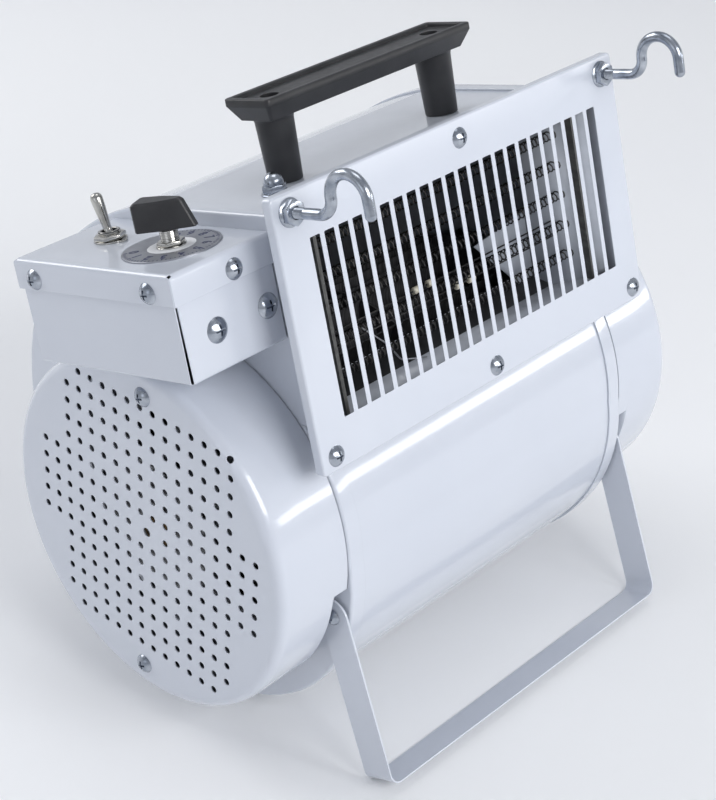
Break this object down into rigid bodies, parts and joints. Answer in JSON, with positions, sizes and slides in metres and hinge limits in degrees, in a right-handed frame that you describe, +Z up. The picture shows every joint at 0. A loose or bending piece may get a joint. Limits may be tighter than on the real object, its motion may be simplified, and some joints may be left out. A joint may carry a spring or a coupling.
{
  "type": "portable fan heater",
  "caption": "Portable centrifugal fan heater: scroll casing with perforated inlet drums, slotted outlet grille, control box, carrying handle and a swinging strip stand.",
  "frame": {"origin": "middle of the object's footprint at floor level, standing on the scroll's belly and the stand's bar", "axes": "+Z up, +X along the fan axis away from the control box, -Y towards the air outlet"},
  "size_m": [0.3734, 0.3006, 0.3713],
  "materials": {
    "white_enamel": "glossy",
    "zinc_plate": "bright zinc",
    "nickel_plate": "bright nickel",
    "galvanised_sheet": "galvanised",
    "black_plastic": "fine grain",
    "natural_nylon": "satin",
    "machined_steel": "machined",
    "grey_dial": "printed satin",
    "grey_plastic": "satin",
    "lamination_iron": "varnished",
    "blackened_steel": "oil-blacked",
    "bronze_bush": "sintered",
    "mica_board": "pale laminated mica",
    "ceramic_bead": "unglazed",
    "element_sheath": "heat-tinted"
  },
  "bodies": {
    "housing": {"air_guide": "galvanised_sheet", "bearing_spider": "galvanised_sheet", "box_screws": "zinc_plate", "cable_gland": "grey_plastic", "carry_handle": "black_plastic", "control_box": "white_enamel", "control_box_lid": "white_enamel", "cutout_dome_nut": "nickel_plate", "cutout_washer": "nickel_plate", "dial_plate": "grey_dial", "drum_posts": "zinc_plate", "drum_screws": "zinc_plate", "element_beads": "ceramic_bead", "element_boards": "mica_board", "element_links": "machined_steel", "end_bearing": "bronze_bush", "gland_lock_nut": "grey_plastic", "grille_screws": "zinc_plate", "handle_nuts": "zinc_plate", "handle_screws": "zinc_plate", "heating_elements": "element_sheath", "hook_back_nuts": "zinc_plate", "hook_front_nuts": "zinc_plate", "hook_left": "zinc_plate", "hook_right": "zinc_plate", "inlet_drum_left": "white_enamel", "inlet_drum_right": "white_enamel", "inlet_ring_left": "galvanised_sheet", "inlet_ring_right": "galvanised_sheet", "lid_screws": "zinc_plate", "motor_bearings": "bronze_bush", "motor_can": "machined_steel", "motor_spider": "galvanised_sheet", "motor_stator": "lamination_iron", "outlet_frame": "white_enamel", "outlet_grille": "white_enamel", "power_regulator": "black_plastic", "regulator_nut": "nickel_plate", "scroll_wrap": "white_enamel", "side_plate_left": "white_enamel", "side_plate_right": "white_enamel", "spider_screws": "zinc_plate", "stand_nuts": "zinc_plate", "stand_screws": "zinc_plate", "terminal_block": "natural_nylon", "thermal_cutout": "black_plastic", "toggle_nut": "nickel_plate", "toggle_switch": "black_plastic", "toggle_washer": "nickel_plate"},
    "stand": {"stand_bracket": "white_enamel"},
    "switch_lever": {"toggle_lever": "nickel_plate"},
    "power_knob": {"control_knob": "black_plastic", "regulator_shaft": "machined_steel"},
    "fan": {"rotor_shaft": "machined_steel", "rotor_core": "lamination_iron", "fan_wheel": "blackened_steel"}
  },
  "joints": [
    {"name": "stand_swing", "type": "hinge", "parent": "housing", "child": "stand", "pos_m": [0.00945, -0.10301, 0.1015], "axis": [1, 0, 0], "range_deg": [-88, 30]},
    {"name": "switch_flip", "type": "hinge", "parent": "housing", "child": "switch_lever", "pos_m": [-0.14505, 0.03264, 0.29674], "axis": [1, 0, 0], "range_deg": [0, 24]},
    {"name": "power_turn", "type": "hinge", "parent": "housing", "child": "power_knob", "pos_m": [-0.14605, -0.01643, 0.30679], "axis": [0, 0.2588, 0.9659], "range_deg": [-120, 150]},
    {"name": "fan_spin", "type": "hinge", "parent": "housing", "child": "fan", "pos_m": [0.00945, -0.00474, 0.13211], "axis": [1, 0, 0], "continuous": true}
  ]
}
